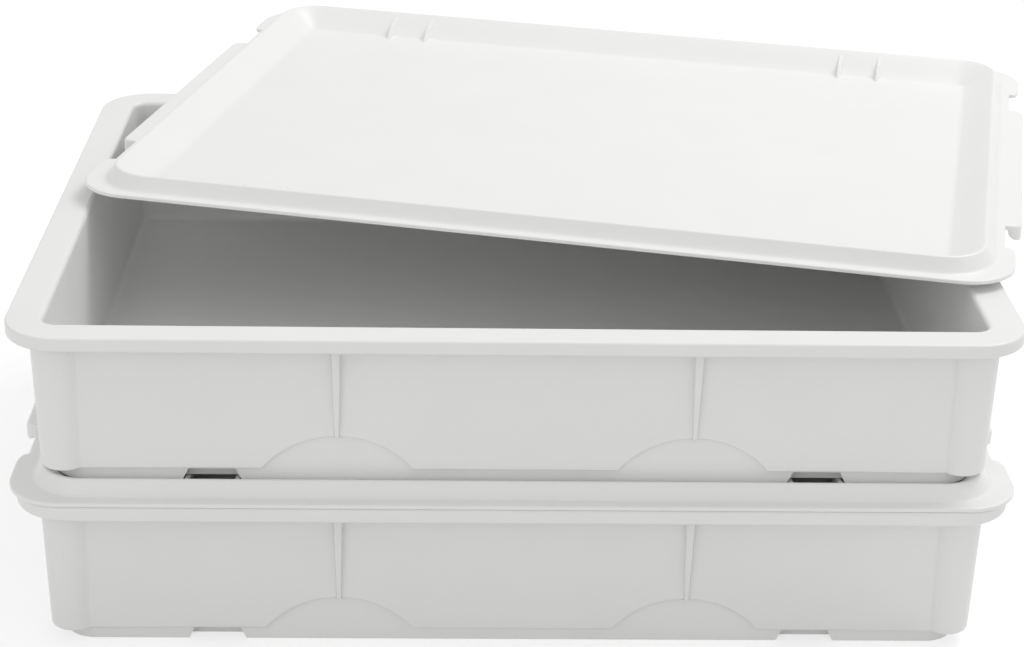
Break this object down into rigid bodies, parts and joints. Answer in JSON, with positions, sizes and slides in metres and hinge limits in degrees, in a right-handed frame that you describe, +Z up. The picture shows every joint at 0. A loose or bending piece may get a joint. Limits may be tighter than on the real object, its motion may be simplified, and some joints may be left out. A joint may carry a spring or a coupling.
{
  "type": "dough proofing container",
  "caption": "Stack of shallow rectangular dough trays, the lower one closed by a drop-on lid, the upper one open with its lid laid askew on the rim.",
  "frame": {"origin": "on the surface that the stack stands on, under the middle of the trays", "axes": "+X along the trays' long side to the right, +Y towards the back, +Z up"},
  "size_m": [0.5179, 0.4705, 0.1714],
  "materials": {
    "tray_plastic": "satin moulded white",
    "lid_plastic": "satin moulded white"
  },
  "bodies": {
    "lower_tray": {"lower_tray": "tray_plastic"},
    "lower_lid": {"lower_lid": "lid_plastic"},
    "upper_tray": {"upper_tray": "tray_plastic"},
    "upper_lid": {"upper_lid": "lid_plastic"}
  },
  "joints": [
    {"name": "lower_lid_lift", "type": "slide", "parent": "lower_tray", "child": "lower_lid", "axis": [0, 0, 1], "range_m": [0, 0.12]},
    {"name": "upper_tray_lift", "type": "slide", "parent": "lower_lid", "child": "upper_tray", "axis": [0, 0, 1], "range_m": [0, 0.12]},
    {"name": "upper_lid_lift", "type": "slide", "parent": "upper_tray", "child": "upper_lid", "axis": [0, 0, 1], "range_m": [0, 0.12]}
  ]
}
